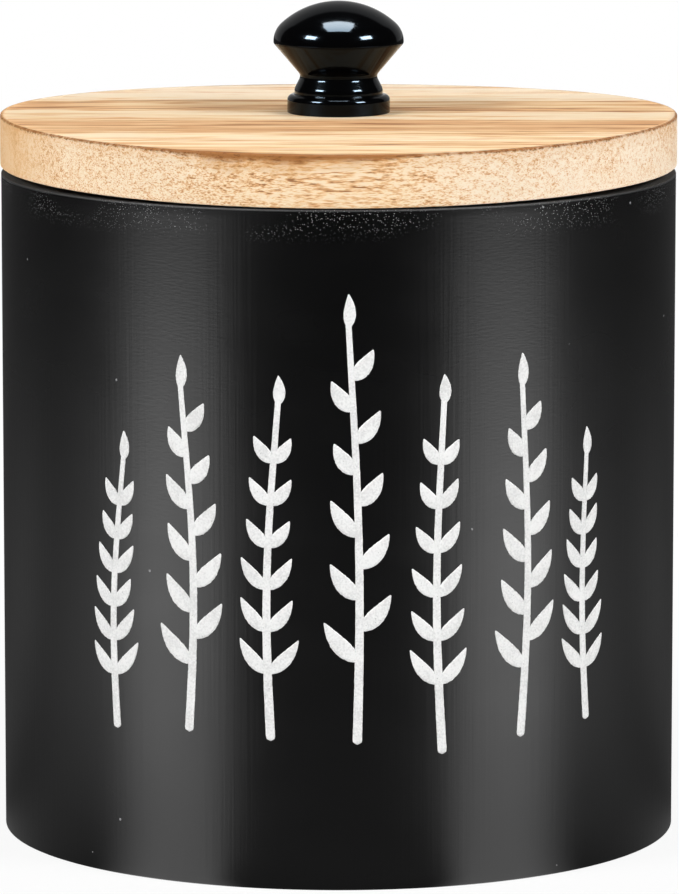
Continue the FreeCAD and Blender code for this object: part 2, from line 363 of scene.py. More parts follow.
def bend_radius(lid):
    """Radius of the lid's crown line, from half its width a and its cup c.

    It is (a^2 + c^2) / 2c.
    """
    return (lid.radius ** 2 + lid.cup ** 2) / (2 * lid.cup)


def ripple(along, lowest, highest, seed):
    """A repeatable uneven line over a full turn, about -1 to 1.

    The sum of sines of every whole number of waves from lowest to highest,
    each with its own phase, divided by twice the root of half their number.
    """
    waves = np.arange(lowest, highest + 1)
    phases = np.random.default_rng(seed).uniform(0, 2 * math.pi, len(waves))
    total = np.sin(np.asarray(along)[..., None] * waves + phases).sum(axis=-1)
    return total / (2.0 * math.sqrt(len(waves) / 2))


# Node wrapping ---------------------------------------------------------------

class Value:
    """An output socket. Arithmetic on it adds Math nodes to its tree."""

    def __init__(self, nodes, socket):
        self.nodes = nodes
        self.socket = socket

    def maths(self, operation, *operands):
        operands = operands or (self,)
        return self.nodes.node("Math", {"operation": operation}, dict(enumerate(operands)))

    def __add__(self, other):
        return self.maths("ADD", self, other)

    def __radd__(self, other):
        return self.maths("ADD", other, self)

    def __sub__(self, other):
        return self.maths("SUBTRACT", self, other)

    def __rsub__(self, other):
        return self.maths("SUBTRACT", other, self)

    def __mul__(self, other):
        return self.maths("MULTIPLY", self, other)

    def __rmul__(self, other):
        return self.maths("MULTIPLY", other, self)

    def __truediv__(self, other):
        return self.maths("DIVIDE", self, other)

    def __rtruediv__(self, other):
        return self.maths("DIVIDE", other, self)

    def __pow__(self, other):
        return self.maths("POWER", self, other)

    def __rpow__(self, other):
        return self.maths("POWER", other, self)

    def most(self, other):
        return self.maths("MAXIMUM", self, other)

    def root(self):
        return self.maths("SQRT")

    def sine(self):
        return self.maths("SINE")

    def size(self):
        return self.maths("ABSOLUTE")


class Nodes:
    """A node tree in the making."""

    def __init__(self, tree):
        self.tree = tree

    def node(self, kind, settings=None, values=None, output=0):
        """One node: its settings first, then the values or links of its sockets."""
        made = self.tree.nodes.new("ShaderNode" + kind)
        for name, setting in (settings or {}).items():
            if name == "stops":
                self.set_stops(made.color_ramp, setting)
            else:
                setattr(made, name, setting)
        for key, value in (values or {}).items():
            self.feed(made.inputs[key], value)
        return Value(self, made.outputs[output])

    def feed(self, socket, value):
        """Links a Value to the socket, or sets a number or colour on it."""
        if isinstance(value, Value):
            self.tree.links.new(value.socket, socket)
            return
        if socket.type == "RGBA" and len(value) == 3:
            value = (*value, 1.0)
        socket.default_value = value

    @staticmethod
    def set_stops(ramp, stops):
        """Gives a colour ramp these (position, colour) stops."""
        while len(ramp.elements) < len(stops):
            ramp.elements.new(1.0)
        for element, (position, tint) in zip(ramp.elements, stops):
            element.position = position
            element.color = (*tint, 1.0)

    def vector(self, operation, *operands):
        return self.node("VectorMath", {"operation": operation}, dict(enumerate(operands)))

    def split(self, place):
        """The x, y and z of a vector."""
        parts = self.node("SeparateXYZ", None, {0: place}).socket.node
        return [Value(self, output) for output in parts.outputs]

    def ray(self, kind):
        """1 where the ray that asks is of this kind, such as Camera."""
        return self.node("LightPath", output="Is " + kind + " Ray")

    def step(self, value, low, high):
        """0 below low, 1 above high, and a smooth rise between them."""
        return self.node(
            "MapRange", {"interpolation_type": "SMOOTHSTEP"},
            {"Value": value, "From Min": low, "From Max": high})

    def fall(self, value, low, high):
        """1 below low, 0 above high."""
        return 1.0 - self.step(value, low, high)

    def blend(self, share, first, second):
        """The first colour, turned into the second by the share."""
        node = self.node("Mix", {"data_type": "RGBA"}, None, output=2)
        inputs = node.socket.node.inputs
        self.feed(inputs[0], share)
        self.feed(inputs[6], first)
        self.feed(inputs[7], second)
        return node

    def ramp(self, value, stops):
        return self.node("ValToRGB", {"stops": stops}, {0: value})

    def mix_shader(self, share, first, second):
        """The first shader, turned into the second by the share."""
        return self.node("MixShader", None, {0: share, 1: first, 2: second})

    def glow(self, tint, strength):
        return self.node("Emission", None, {"Color": tint, "Strength": strength})


class Finish(Nodes):
    """A material in the making, with places in millimetres on the object."""

    def __init__(self, name, **constants):
        self.material = bpy.data.materials.new(name)
        self.material.use_nodes = True
        super().__init__(self.material.node_tree)
        self.shader = self.tree.nodes["Principled BSDF"]
        for socket, value in constants.items():
            self.shader.inputs[socket.replace("_", " ")].default_value = value
        place = self.node("TexCoord", output="Object")
        self.place = self.vector("MULTIPLY", place, (1 / MM,) * 3)

    def axes(self):
        """The place's x, y and z in millimetres."""
        return self.split(self.place)

    def noise(self, per_mm, detail=2.0, roughness=0.5, offset=(0.0, 0.0, 0.0)):
        """Noise from 0 to 1 with this many features per mm along x, y and z."""
        place = self.vector("MULTIPLY_ADD", self.place, per_mm, offset)
        return self.node(
            "TexNoise", None,
            {"Vector": place, "Scale": 1.0, "Detail": detail, "Roughness": roughness})

    def cells(self, per_mm, offset=(0.0, 0.0, 0.0)):
        """Distance to the nearest of scattered points, this many per mm."""
        place = self.vector("MULTIPLY_ADD", self.place, per_mm, offset)
        return self.node("TexVoronoi", None, {"Vector": place, "Scale": 1.0}, output="Distance")

    def bump(self, height_mm, strength=1.0):
        """The normal of a surface raised by this height in millimetres."""
        self.feed(self.shader.inputs["Normal"], self.node(
            "Bump", None, {"Height": height_mm, "Distance": MM, "Strength": strength}, output="Normal"))

    def put(self, **sockets):
        """Feeds the shader's sockets by name."""
        for name, value in sockets.items():
            self.feed(self.shader.inputs[name.replace("_", " ")], value)
        return self.material

    def cover(self, shader):
        """Shows this shader in place of the plain one."""
        self.feed(self.tree.nodes["Material Output"].inputs[0], shader)


# Finishes ------------------------------------------------------------------

def bare_grain(wood, upright):
    """Tone from 0 to 1 and bump height of plain sawn wood.

    Streaks are noise drawn out some 50 times along the grain. Under them lie
    wide rings about a line beside the axis, or below the piece where the grain
    lies flat, bent by a slow noise.
    """
    x, y, z = wood.axes()
    along = (0.012, 0.012, 0.0015) if upright else (0.0015, 0.012, 0.012)
    bend = wood.noise(along, detail=1.0)
    if upright:
        ring = ((x - 60.0) ** 2.0 + (y + 20.0) ** 2.0).root()
        streak = wood.noise((1.6, 1.6, 0.03), detail=3.0)
        pore = wood.cells((1.5, 1.5, 0.06))
    else:
        ring = ((y - 12.0) ** 2.0 + (z + 45.0) ** 2.0).root()
        streak = wood.noise((0.03, 1.6, 1.6), detail=3.0)
        pore = wood.cells((0.06, 1.5, 1.5))
    late = wood.step(((ring + bend * 22.0) * 0.9).sine(), 0.1, 1.0)
    pores = wood.fall(pore, 0.10, 0.22)
    tone = 0.78 - late * 0.28 + (streak - 0.5) * 0.5 - pores * 0.25
    height = (streak - 0.5) * 0.03 - pores * 0.05
    return tone, height


def shaded(tint, share):
    """A colour at this share of its brightness."""
    return tuple(share * part for part in tint)


def mixed(first, second, share):
    """The first colour, turned into the second by the share."""
    return tuple((1 - share) * a + share * b for a, b in zip(first, second))


def bare_colour(wood, tone, colours):
    """Dark to light unfinished wood, by its tone."""
    light = colours.bare_wood
    dark = shaded(light, 0.55)
    return wood.ramp(tone, [(0.0, dark), (0.55, mixed(dark, light, 0.55)), (1.0, light)])


def bare_wood(colours):
    """Unfinished pale wood, its grain along X."""
    wood = Finish("bare_wood", Roughness=0.62, Specular_IOR_Level=0.3)
    tone, height = bare_grain(wood, upright=False)
    wood.bump(height)
    return wood.put(Base_Color=bare_colour(wood, tone, colours))


def painted_share(paint, wall, radius, z):
    """1 on the painted outside and 0 on bare wood, in the bore and underneath.

    The paint wraps over the rim and a little under the foot, and its edges
    wander by noise.
    """
    outside, height = wall.radius / MM, wall.height / MM
    bore = outside - wall.thickness / MM
    wander = paint.noise((0.35, 0.35, 0.35), detail=3.0) - 0.5
    off_bore = paint.step(radius - bore + wander * 1.6, 0.9, 1.2)
    near_mouth = paint.step(z + wander * 3.0, height - 3.2, height - 2.6)
    under = paint.step(radius + wander * 1.8, outside - 2.1, outside - 1.7)
    above_foot = paint.step(z, 0.05, 0.4)
    return off_bore.most(near_mouth) * under.most(above_foot)


def pale_flecks(paint, z, height):
    """Small pale spots that crowd under the rim, and a few lone ones. They are partly wear in the paint
    and partly painted glints, where rough paint catches the lamps.
    """
    below_rim = paint.step(z, height - 8.0, height - 1.5)
    fleck = paint.fall(paint.cells((1.9, 1.9, 2.4)), 0.12, 0.24)
    crowd = paint.noise((0.06, 0.06, 0.1), detail=1.0, offset=(1.0, 5.0, 0.0))
    lone = paint.fall(paint.cells((0.09, 0.09, 0.09)), 0.022, 0.03)
    return (fleck * below_rim * paint.step(crowd, 0.36, 0.56)).most(lone)


def black_paint(colours, wall):
    """Brushed satin black outside, bare wood in the bore and under the foot.

    Short level brush dashes and faint upright streaks raise its surface. It
    is a little smoother towards the rim, and rough on the rim's edge.
    """
    paint = Finish("black_paint", Specular_IOR_Level=0.30)
    x, y, z = paint.axes()
    height = wall.height / MM
    painted = painted_share(paint, wall, (x * x + y * y).root(), z)
    flecks = pale_flecks(paint, z, height)
    dashes = paint.noise((0.55, 0.55, 2.4), detail=2.0)
    streaks = paint.noise((1.3, 1.3, 0.02), detail=2.0, offset=(7.0, 3.0, 0.0))
    patches = paint.noise((0.05, 0.05, 0.09), detail=2.0, offset=(2.0, 9.0, 4.0))
    tone, wood_height = bare_grain(paint, upright=True)

    # pale flecks: wear in the paint and painted glints
    wear_and_glint = paint.blend(flecks * 0.6, colours.black_paint, colours.wear_and_glint_paint)
    tint = paint.blend(painted, bare_colour(paint, tone, colours), wear_and_glint)
    smoother = paint.step(z, 60.0, 140.0) * 0.04
    edge = paint.step(z, height - 0.5, height - 0.2) * 0.4
    satin = 0.30 - smoother + (patches - 0.5) * 0.07 + edge
    roughness = painted * satin + (1.0 - painted) * 0.62
    relief = (dashes - 0.5) * 0.011 + (streaks - 0.5) * 0.022 + flecks * 0.05
    paint.bump(painted * relief + (1.0 - painted) * wood_height)
    return paint.put(Base_Color=tint, Roughness=roughness)


def white_paint(colours):
    """Flat white paint, slightly uneven, with a few pinholes."""
    paint = Finish("white_paint", Roughness=0.55, Specular_IOR_Level=0.15)
    grain = paint.noise((2.2, 2.2, 2.2), detail=2.0)
    slow = paint.noise((0.2, 0.2, 0.2), detail=2.0)
    pinholes = paint.fall(paint.cells((0.7, 0.7, 0.7)), 0.06, 0.10)
    white = colours.white_paint
    evenness = paint.step(grain * 0.6 + slow * 0.4, 0.35, 0.6)
    tint = paint.blend(evenness, shaded(white, 0.82), white)
    tint = paint.blend(pinholes * 0.5, tint, colours.pinhole)
    paint.bump((grain - 0.5) * 0.02 - pinholes * 0.03)
    return paint.put(Base_Color=tint)


RING_STOPS = (            # ring radius in mm, tone of the wood there
    (98.0, 0.62), (99.8, 0.60), (100.05, 0.20), (100.4, 0.84),
    (101.6, 0.94), (104.2, 0.88), (104.9, 0.60), (106.4, 0.38),
    (108.5, 0.54), (111.4, 0.44), (112.9, 0.76), (117.0, 0.86),
    (122.8, 0.80), (124.1, 0.56), (126.0, 0.80), (135.0, 0.82),
    (146.0, 0.78),
)
PITH_Y = 15.0             # mm behind the axis
PITH_ABOVE_TOP = 99.6     # mm


def ring_bands(wood, y, z, top):
    """Tone of the growth rings, by the distance from the pith.

    The pith is a line along X above the board, so the rings show as bands
    along X on the top and as arcs on the sides of the rim.
    """
    bend = wood.noise((0.010, 0.03, 0.03), detail=2.0) - 0.5
    waver = wood.noise((0.045, 0.06, 0.06), detail=2.0, offset=(6.0, 6.0, 0.0)) - 0.5
    ring = ((y - PITH_Y) ** 2.0 + (z - (top + PITH_ABOVE_TOP)) ** 2.0).root()
    ring = ring + bend * 3.0 + waver * 0.9
    first, last = RING_STOPS[0][0], RING_STOPS[-1][0]
    stops = [((at - first) / (last - first), (tone,) * 3) for at, tone in RING_STOPS]
    return wood.ramp((ring - first) / (last - first), stops)


def top_grain(wood, bands, y):
    """Tone of the top of the board, and its fine grain.

    Over the bands run long streaks, thin dark lines where a noise passes its
    middle value, short dark dashes and a few scorched stretches. The board
    is paler towards the back.
    """
    streak = wood.noise((0.014, 0.30, 0.30), detail=3.0, roughness=0.62)
    lines = wood.noise((0.012, 0.21, 0.21), detail=3.0, offset=(4.0, 2.0, 5.0))
    lines = wood.step((lines - 0.5).size(), 0.0, 0.05)
    dashes = wood.cells((0.075, 0.75, 0.75), offset=(0.0, 3.0, 3.0))
    dashes = wood.fall(dashes, 0.08, 0.30)
    fine = wood.noise((0.035, 1.5, 1.5), detail=3.0, roughness=0.6, offset=(0.0, 6.0, 1.0))
    scorch = wood.noise((0.012, 0.07, 0.07), detail=2.0, offset=(3.0, 1.0, 0.0))
    scorch = wood.step(scorch, 0.50, 0.70)
    paler = wood.step(y, 14.0, 24.0) * 0.12 + wood.step(y, 32.0, 48.0) * 0.28
    tone = bands + paler + (streak - 0.5) * 1.1
    tone = tone + (lines - 0.75) * 0.40 + (fine - 0.5) * 0.80
    return tone - (dashes - 0.1) * 0.30 - scorch * 0.20, fine


def rim_grain(wood, bands, x, depth, middle):
    """Tone of the rim, its mottle and its pores.

    Mottle and pores are drawn out along X, so they are dots where the rim
    cuts the grain and dashes where it runs along it. They are strongest in
    the upper half of the middle, and the far left has coarser dots. The upper
    half of the middle is also toned darker: painted shade that evens out the
    front, where both side lamps light the rim.
    """
    mottle = wood.noise((0.14, 1.15, 1.15), detail=3.0, roughness=0.65, offset=(2.0, 0.0, 7.0))
    pore = wood.cells((0.14, 1.35, 1.35))
    crowd = wood.noise((0.03, 0.09, 0.09), detail=2.0, offset=(0.0, 4.0, 2.0))
    pores = wood.fall(pore, 0.10, 0.34) * wood.step(crowd, 0.34, 0.64)
    grain = wood.noise((0.40, 4.0, 4.0), detail=2.0, roughness=0.6, offset=(4.0, 1.0, 0.0))
    dots = wood.noise((1.0, 1.0, 1.0), detail=3.0, roughness=0.7, offset=(1.0, 8.0, 2.0))
    upper = wood.fall(depth, 4.0, 13.0)
    calm = wood.step(x, 12.0, 40.0)
    left = wood.fall(x, -70.0, -48.0)
    # painted shade: the upper middle of the rim, which faces both side lamps, is toned darker
    tone = 0.84 + middle * (0.03 - upper * 0.07) + (bands - 0.8) * 0.30
    tone = tone + (grain - 0.5) * (2.4 - calm * 0.7)
    tone = tone + (mottle - 0.5) * (0.9 + upper * 0.6 + middle * (0.3 + upper * 1.9))
    tone = tone - pores * (0.12 + middle * upper * 0.75)
    tone = tone - (crowd - 0.5) * (0.40 + left * 0.9)
    tone = tone + (dots - 0.5) * (left * 1.3)
    return tone, mottle, pores


def burnt_edge(wood, colours, tint, x, from_edge, toasted):
    """The colour of the wood, with its burnt upper edge.

    The burn has a ragged border and reaches furthest down where the torch
    was held, a little left of the middle. Toasted wood lies round it, and
    its very edge is a dark line.
    """
    uneven = wood.noise((0.07, 0.07, 0.0), detail=3.0, offset=(5.0, 2.0, 0.0))
    ragged = wood.noise((0.16, 1.9, 1.9), detail=3.0, roughness=0.65, offset=(8.0, 0.0, 3.0))
    torched = wood.fall((x + 11.0).size(), 8.0, 30.0)
    reach = 0.60 + torched * 1.05 + wood.step(uneven, 0.38, 0.66) * (0.3 + torched * 0.8)
    burn = (from_edge + (ragged - 0.5) * 1.3) / reach
    char = wood.fall(burn, 0.35, 1.10)
    toast = wood.fall(burn + (ragged - 0.5) * 1.6, 0.6, 2.6).most(toasted)
    line = wood.fall(from_edge + (ragged - 0.5) * 0.3, 0.30, 0.75)
    dark = (char * 0.95).most(line * (0.78 + torched * 0.14))
    black = char * wood.fall(ragged, 0.36, 0.50) * 0.7
    tint = wood.blend(toast * (0.35 + torched * 0.30), tint, colours.toast_wood)
    tint = wood.blend(dark, tint, colours.burnt_wood)
    return wood.blend(black, tint, shaded(colours.burnt_wood, 0.5))


def toasted_wood(colours, lid):
    """Flat-sawn board, torched lightly, its grain along X.

    Top and rim have a tone each, which turns into colours from dark to pale.
    The back of the top is creamier, and the far left of the rim is honey
    brown. The right of the rim is creamier too, a painted highlight where
    that side is lit more brightly, and the middle of the rim is less creamy
    and a touch honey-toned, painted shade where both side lamps light the front.
    """
    wood = Finish("toasted_wood", Specular_IOR_Level=0.06)
    x, y, z = wood.axes()
    radius = (x * x + y * y).root()
    outside, top = lid.radius / MM, lid.top / MM
    depth = top - z - y * y / (2.0 * bend_radius(lid) / MM)
    rim = wood.step(radius, outside - 1.2, outside - 0.4)
    on_top = 1.0 - rim
    middle = wood.fall((x + 4.0).size(), 10.0, 34.0)

    bands = ring_bands(wood, y, z, top)
    top_tone, fine = top_grain(wood, bands, y)
    rim_tone, mottle, pores = rim_grain(wood, bands, x, depth, middle)
    tone = top_tone * on_top + rim_tone * rim
    tint = wood.ramp(tone, [
        (0.0, colours.dark_wood),
        (0.28, colours.brown_wood),
        (0.58, colours.tan_wood),
        (0.88, colours.pale_wood),
        (1.0, mixed(colours.pale_wood, colours.cream_wood, 0.5)),
    ])

    # painted highlight: the right of the rim is made creamier where that side is lit more brightly
    right = wood.step(x, 10.0, 50.0) * 0.45 + wood.step(x, 55.0, 70.0) * 0.10
    # painted shade: the middle of the rim gets less cream where both side lamps light the front
    creamy = (0.45 - middle * 0.30 + right) * rim + wood.step(y, 20.0, 60.0) * on_top * 0.55
    tint = wood.blend(creamy * wood.step(tone, 0.4, 1.1), tint, colours.cream_wood)
    # the far left is honey brown wood; the faint honey in the middle is painted shade
    honey = (wood.fall(x, -73.0, -58.0) * 0.70).most(middle * 0.10) * rim
    tint = wood.blend(honey, tint, colours.honey_wood)
    toasted = wood.fall(depth + (mottle - 0.5) * 6.0, 0.6, 4.2) * 0.75 * rim
    from_edge = depth + (outside - radius) * 1.2
    tint = burnt_edge(wood, colours, tint, x, from_edge, toasted)

    wood.bump((fine - 0.5) * 0.04 * on_top + (mottle - 0.5) * 0.06 * rim - pores * 0.05 * rim)
    return wood.put(Base_Color=tint, Roughness=0.62 + rim * 0.1)


def gloss_enamel(colours):
    """Deep gloss black with a faint unevenness and a few dust nibs."""
    enamel = Finish(
        "gloss_black", Specular_IOR_Level=0.13, Specular_Tint=(0.58, 0.80, 1.0, 1.0),
        Base_Color=(*colours.enamel, 1.0))
    slow = enamel.noise((0.5, 0.5, 0.5), detail=1.0)
    nib = enamel.fall(enamel.cells((0.16, 0.16, 0.16)), 0.03, 0.05)
    enamel.bump(slow * 0.006 + nib * 0.02)
    return enamel.put(Roughness=0.07 + slow * 0.05)


def zinc_plate(colours):
    """Bright zinc plate with fine turning marks."""
    zinc = Finish("zinc_steel", Metallic=1.0)
    marks = zinc.noise((0.6, 0.6, 9.0), detail=2.0)
    cloud = zinc.noise((0.7, 0.7, 0.7), detail=2.0)
    tint = zinc.blend(cloud, shaded(colours.zinc, 0.72), colours.zinc)
    zinc.bump((marks - 0.5) * 0.01)
    return zinc.put(Base_Color=tint, Roughness=0.24 + marks * 0.2)


# Pieces ----------------------------------------------------------------------

def build_wall(settings):
    """Turned tube with rounded rim and mouth and a rebate in its foot."""
    wall = settings.wall
    bore = wall.radius - wall.thickness
    rebate = wall.panel_radius + wall.panel_clearance
    outline = rounded_outline([
        (rebate, 0.0, EASED),
        (wall.radius, 0.0, wall.foot_round),
        (wall.radius, wall.height, wall.rim_round),
        (bore, wall.height, wall.mouth_round),
        (bore, BASE_HIGH.z, CREASE),
        (rebate, BASE_HIGH.z, CREASE),
    ], closed=True)
    outline = spaced(outline, LONGEST_STEP, closed=True)
    paint = black_paint(settings.colours, wall)
    piece = add_turned("turned_wall", outline, WALL_COLUMNS, True, paint)
    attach(piece, "canister")
    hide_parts("canister_wall")


def build_bottom_panel(settings):
    """Round panel let into the foot, a little above the table."""
    wall = settings.wall
    outline = rounded_outline([
        (0.0, BASE_LOW.z, 0.0),
        (wall.panel_radius, BASE_LOW.z, wall.panel_round),
        (wall.panel_radius, BASE_HIGH.z, PANEL_EASED),
        (0.0, BASE_HIGH.z, 0.0),
    ], closed=False)
    outline = spaced(outline, LONGEST_STEP, closed=False)
    wood = bare_wood(settings.colours)
    piece = add_turned("bottom_panel", outline, PANEL_COLUMNS, False, wood)
    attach(piece, "canister")
    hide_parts("base_panel")


def build_lid(settings):
    """The board with its plug: a turned shape, bent across the grain.

    Every level of the board is an arc about one line along X below it, so a
    point drops by R - sqrt(R^2 - y^2), where R is the bend radius less its
    depth under the top. Chips and an even wear take the two edges of the rim
    inwards, fading with the distance from the edge.
    """
    lid, wall = settings.lid, settings.wall
    under = lid.top - lid.thickness
    plug_face = under - lid.plug_depth
    plug_radius = wall.radius - wall.thickness - lid.plug_gap
    counterbore = WASHER_HIGH.x + lid.bore_gap
    outline = rounded_outline([
        (lid.hole_radius, lid.top, 0.0),
        (lid.radius, lid.top, lid.edge_round),
        (lid.radius, under, lid.lower_round),
        (plug_radius, under, EASED),
        (plug_radius, plug_face, lid.plug_round),
        (counterbore, plug_face, EASED),
        (counterbore, WASHER_HIGH.z, 0.0),
        (lid.hole_radius, WASHER_HIGH.z, 0.0),
    ], closed=True)
    outline = spaced(outline, LONGEST_LID_STEP, closed=True)

    def cupped(grid):
        around = np.arctan2(grid[..., 0], -grid[..., 1])
        radius = np.hypot(grid[..., 0], grid[..., 1])
        shrink = np.zeros_like(radius)
        for height, seed in ((lid.top, 3), (under, 8)):
            distance = np.hypot(radius - lid.radius, grid[..., 2] - height)
            near = np.exp(-(distance / CHIP_REACH) ** 2)
            chips = np.clip(ripple(around, 40, 230, seed) - 0.1, 0, None) + 0.25
            shrink += near * chips * lid.wear
        grid[..., :2] *= (1 - shrink / np.maximum(radius, lid.hole_radius))[..., None]
        level_radius = bend_radius(lid) - (lid.top - grid[..., 2])
        grid[..., 2] -= level_radius - np.sqrt(level_radius ** 2 - grid[..., 1] ** 2)
        return grid

    wood = toasted_wood(settings.colours, lid)
    piece = add_turned("cupped_lid", outline, LID_COLUMNS, True, wood, cupped)
    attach(piece, "lid")
    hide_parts("lid_board")


def crown_outline(knob, crown_z):
    """Half an oval from the widest line to the top, as two tangent arcs.

    The small arc's centre lies level with the widest line. The large one is
    centred on the axis, and its radius T solves
    c^2 + (h - T)^2 = (T - s)^2 with s the small radius, h the height of the
    oval half and c = crown radius - s.
    """
    side, height = knob.side_round, KNOB_HIGH.z - crown_z
    centre = knob.crown_radius - side
    large = (centre ** 2 + height ** 2 - side ** 2) / (2 * (height - side))
    large_z = crown_z + height - large
    meet = math.atan2(crown_z - large_z, centre)
    small_turn = np.linspace(0, meet, 22)
    large_turn = np.linspace(meet, math.pi / 2, 48)[1:]
    small_arc = np.stack([np.cos(small_turn), np.sin(small_turn)], axis=1) * side
    large_arc = np.stack([np.cos(large_turn), np.sin(large_turn)], axis=1) * large
    large_arc[-1, 0] = 0.0
    return np.concatenate([small_arc + (centre, crown_z), large_arc + (0.0, large_z)])


def build_knob(settings):
    """Mushroom knob: foot, collar, waist, cone and oval crown, with its hole.

    The round under the widest line ends level with it, so the cone's upper
    corner lies round * tan(lean / 2) lower, which a few rounds settle.
    """
    knob = settings.knob
    base_z = KNOB_LOW.z
    collar = knob.foot_radius - knob.ledge
    waist = collar - knob.neck_depth
    collar_z = base_z + knob.foot_height
    shoulder_z = collar_z + knob.collar_height
    waist_z = shoulder_z + knob.shoulder_height
    crown_z = waist_z + knob.cone_height
    corner_z = crown_z
    for _ in range(20):
        lean = math.atan2(knob.crown_radius - waist, corner_z - waist_z)
        corner_z = crown_z - knob.edge_round * math.tan(lean / 2)
    hole_end = SCREW_HIGH.z + SCREW_ROOM
    outline = rounded_outline([
        (0.0, hole_end + DRILL_TIP, 0.0),
        (knob.hole_radius, hole_end, 0.0),
        (knob.hole_radius, base_z, 0.0),
        (knob.foot_radius, base_z, knob.base_round),
        (knob.foot_radius, collar_z, knob.foot_round),
        (collar, collar_z, knob.ledge_round),
        (collar, shoulder_z, knob.collar_round),
        (waist, waist_z, knob.waist_round),
        (knob.crown_radius, corner_z, knob.edge_round),
        (knob.crown_radius, KNOB_HIGH.z, 0.0),
    ], closed=False, steps=12)[:-1]
    outline = spaced(outline, LONGEST_KNOB_STEP, closed=False)[:-1]
    outline = np.concatenate([outline, crown_outline(knob, crown_z)])
    enamel = gloss_enamel(settings.colours)
    piece = add_turned("turned_knob", outline, KNOB_COLUMNS, False, enamel)
    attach(piece, "lid")
    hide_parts("knob")


def brush_stroke(path, half_width, film, wall_radius, seed):
    """A stroke of paint on the wall, as rows of points round its section.

    The path is (distance round the wall, height). Each section is a flat
    dome: across it the place is w cos(t) to the side, and the film lifts by
    sin(t)^0.5, while the under side sinks a little into the wall. The film
    is thinner where the stroke is narrow, and both of its edges waver.
    """
    ahead = np.gradient(path, axis=0)
    ahead /= np.linalg.norm(ahead, axis=1)[:, None]
    side = np.stack([ahead[:, 1], -ahead[:, 0]], axis=1)
    steps = np.linalg.norm(np.diff(path, axis=0), axis=1)
    run = np.concatenate([[0], np.cumsum(steps)]) / WAVER_RUN * 2 * math.pi
    turn = np.linspace(0, 2 * math.pi, STROKE_POINTS, endpoint=False) + math.pi / STROKE_POINTS
    right, left = (ripple(run, 20, 120, seed + hand)[:, None] for hand in (0, 1))
    edge = np.where(np.cos(turn) > 0, right, left)
    across = half_width[:, None] * (1 + WAVER_SHARE * edge) * np.cos(turn)
    fullness = np.minimum(1, half_width / half_width.max() * 2.0)[:, None]
    dome = film * np.abs(np.sin(turn)) ** 0.5 * fullness
    radius = wall_radius + np.where(np.sin(turn) > 0, dome, -PAINT_SINK)
    height = path[:, 1:] + side[:, 1:] * across
    azimuth = (path[:, :1] + side[:, :1] * across) / wall_radius
    return np.stack([radius * np.sin(azimuth), -radius * np.cos(azimuth), height], axis=2)


def stem_width(run, width, tip_share):
    """Half width w of a stem, narrower towards its tip, with round ends.

    At a distance d under w from an end it is w sqrt(1 - (1 - d / w)^2).
    """
    near = np.minimum(run, run[-1] - run)
    half = width / 2 * (1 + (tip_share - 1) * run / run[-1])
    inside = np.clip(near / half, 0, 1)
    return half * np.sqrt(1 - (1 - inside) ** 2)


def leaf_width(share, width):
    """Half width of a leaf: a blunt root, widest at two fifths, a fine tip."""
    return width / 2 * np.sin(math.pi * share ** 0.75) ** 0.85


def stem_path(sprigs, place, rng):
    """Points of a stem, which sways aside by part of a sine.

    Every other sprig is taller, and all get shorter towards both sides.
    """
    centre = (sprigs.count - 1) / 2
    foot_x = sprigs.shift + (place - centre) * sprigs.spacing
    outer = abs(place - centre) / max(centre, 1)
    taller = place % 2 == 1
    shorter = (0.22 * outer + (0.0 if taller else 0.10)) * (sprigs.tall - sprigs.foot)
    low = sprigs.foot + (1.5 + 5.0 * rng.random()) * MM
    high = sprigs.tall - shorter
    share = np.linspace(0, 1, STEM_POINTS)
    sway = (1 if taller else -1) * (1.0 + 0.8 * rng.random()) * MM
    lean = (rng.random() - 0.5) * 3 * MM
    x = foot_x + sway * np.sin(share * math.pi * 1.15) + lean * share
    return np.stack([x, low + (high - low) * share], axis=1)


def leaf_path(root, size, lean, hand):
    """Points of a leaf's middle, out from the stem and bowed by half a sine."""
    share = np.linspace(0, 1, LEAF_POINTS)[:, None]
    out = np.array([hand * math.sin(lean), math.cos(lean)])
    across = np.array([out[1], -out[0]]) * hand
    return root + out * share * size + across * 0.07 * size * np.sin(share * math.pi)


def sprig_strokes(sprigs, place, rng):
    """Strokes of one sprig as (path, half width, film): stem, leaves and bud.

    The taller sprigs have large leaves by turns, the others small ones in
    pairs, and the leaves get smaller and steeper up the stem.
    """
    stem = stem_path(sprigs, place, rng)
    width = stem_width(stem[:, 1] - stem[0, 1], sprigs.stem_width, 0.62)
    strokes = [(stem, width, sprigs.film)]
    by_turns = place % 2 == 1
    pairs = 5 if by_turns else 6
    longest = sprigs.leaf_length * (0.92 if by_turns else 0.80)
    widest = sprigs.leaf_width * (1.0 if by_turns else 0.82)
    up_stem = np.linspace(0, 1, STEM_POINTS)
    up_leaf = np.linspace(0, 1, LEAF_POINTS)
    for number in range(pairs):
        for hand in (-1, 1):
            stagger = 0.5 if by_turns and hand > 0 else 0.0
            up = 0.20 + 0.74 * (number + stagger) / pairs
            root = np.array([np.interp(up, up_stem, stem[:, axis]) for axis in (0, 1)])
            shrink = 1.0 - 0.42 * up
            size = longest * shrink * (0.94 + 0.12 * rng.random())
            lean = math.radians(43 - 9 * up + 5 * (rng.random() - 0.5))
            width = leaf_width(up_leaf, widest * (0.8 + 0.2 * shrink))
            strokes.append((leaf_path(root, size, lean, hand), width, sprigs.film * 0.8))
    size = longest * 0.62
    bud = np.stack([0.04 * size * np.sin(up_leaf * 3), up_leaf * size - 1.2 * MM], axis=1)
    width = leaf_width(up_leaf, sprigs.leaf_width * 0.7)
    strokes.append((stem[-1] + bud, width, sprigs.film * 0.9))
    return strokes


